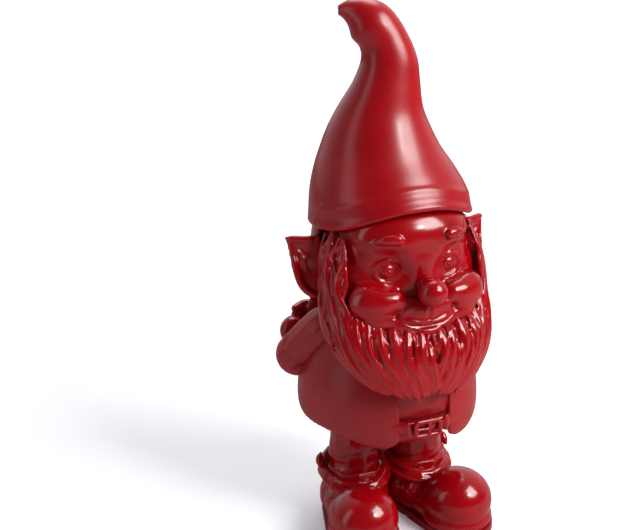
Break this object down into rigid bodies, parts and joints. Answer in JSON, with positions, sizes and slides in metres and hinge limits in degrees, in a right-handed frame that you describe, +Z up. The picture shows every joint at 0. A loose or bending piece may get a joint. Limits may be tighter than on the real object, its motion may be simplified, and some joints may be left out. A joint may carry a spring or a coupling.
{
  "type": "garden gnome",
  "caption": "Standing garden gnome in glossy self-coloured red plastic: tall curled hat, pointed ears, full beard, open jacket, belt, stout boots, and arms folded behind the back.",
  "frame": {"origin": "on the ground, at the middle of the bounding box", "axes": "+Z up; the gnome faces -Y, and its left hand side is +X"},
  "size_m": [0.12, 0.1167, 0.299],
  "materials": {
    "gloss_red": "gloss, slightly translucent, self-coloured crimson",
    "satin_red": "satin gloss with a fine grain, self-coloured crimson",
    "sole_red": "satin, scuffed from standing",
    "stopper": "matt, softer plastic"
  },
  "bodies": {
    "figure": {"head": "gloss_red", "nose": "gloss_red", "beard": "gloss_red", "back_hair": "gloss_red", "right_ear": "gloss_red", "left_ear": "gloss_red", "belt": "gloss_red", "belt_buckle": "gloss_red", "right_hand": "gloss_red", "left_hand": "gloss_red", "right_boot": "gloss_red", "left_boot": "gloss_red", "right_boot_cuff": "gloss_red", "left_boot_cuff": "gloss_red", "hat": "satin_red", "jacket": "satin_red", "shirt_trunk": "satin_red", "right_sleeve": "satin_red", "left_sleeve": "satin_red", "trousers": "satin_red", "right_boot_sole": "sole_red", "left_boot_sole": "sole_red"},
    "right_plug": {"right_fill_plug": "stopper"},
    "left_plug": {"left_fill_plug": "stopper"}
  },
  "joints": [
    {"name": "right_plug_slide", "type": "slide", "parent": "figure", "child": "right_plug", "axis": [0, 0, -1], "range_m": [0, 0.012]},
    {"name": "left_plug_slide", "type": "slide", "parent": "figure", "child": "left_plug", "axis": [0, 0, -1], "range_m": [0, 0.012]}
  ]
}
